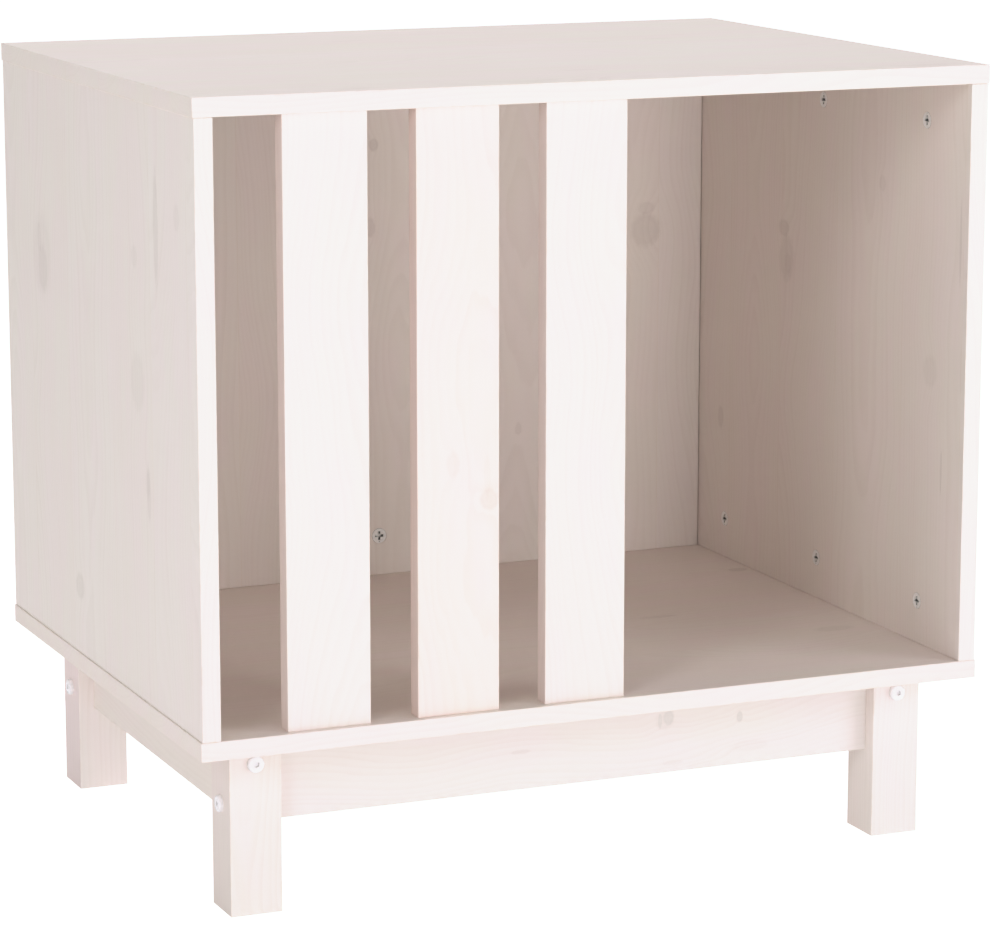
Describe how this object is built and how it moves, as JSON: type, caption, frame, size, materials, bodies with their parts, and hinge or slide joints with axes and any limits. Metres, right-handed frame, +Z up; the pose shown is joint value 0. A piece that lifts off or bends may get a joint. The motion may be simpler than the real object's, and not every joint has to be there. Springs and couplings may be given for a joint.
{
  "type": "dog house",
  "caption": "Open-fronted dog house of whitewashed pine boards with upright front slats, a wide doorway and a four-legged base frame.",
  "frame": {"origin": "on the floor, in the middle of the footprint", "axes": "+X to the right as seen from the front, +Y from the open front to the back, +Z up"},
  "size_m": [0.6, 0.45, 0.5725],
  "materials": {
    "whitewashed_pine": "thin white wash over pine, satin",
    "raw_pine": "raw",
    "zinc_steel": "zinc plated",
    "white_bolts": "white enamel"
  },
  "bodies": {
    "root": {"top_panel": "whitewashed_pine", "bottom_panel": "whitewashed_pine", "left_side_panel": "whitewashed_pine", "right_side_panel": "whitewashed_pine", "back_panel": "whitewashed_pine", "slat_left": "whitewashed_pine", "slat_middle": "whitewashed_pine", "slat_right": "whitewashed_pine", "leg_front_left": "whitewashed_pine", "leg_front_right": "whitewashed_pine", "leg_back_left": "whitewashed_pine", "leg_back_right": "whitewashed_pine", "rail_front": "whitewashed_pine", "rail_back": "whitewashed_pine", "rail_left": "whitewashed_pine", "rail_right": "whitewashed_pine", "cams_left_side": "zinc_steel", "cams_right_side": "zinc_steel", "cams_back_panel": "zinc_steel", "cam_dowels_top": "zinc_steel", "cam_dowels_bottom": "zinc_steel", "barrel_nuts": "zinc_steel", "angle_brackets": "zinc_steel", "bracket_screws": "zinc_steel", "side_dowels_top": "raw_pine", "side_dowels_bottom": "raw_pine", "back_dowels_top": "raw_pine", "back_dowels_bottom": "raw_pine", "back_dowels_sides": "raw_pine", "slat_dowels_top": "raw_pine", "slat_dowels_bottom": "raw_pine", "rail_dowels": "raw_pine", "frame_bolts": "white_bolts"}
  },
  "joints": []
}
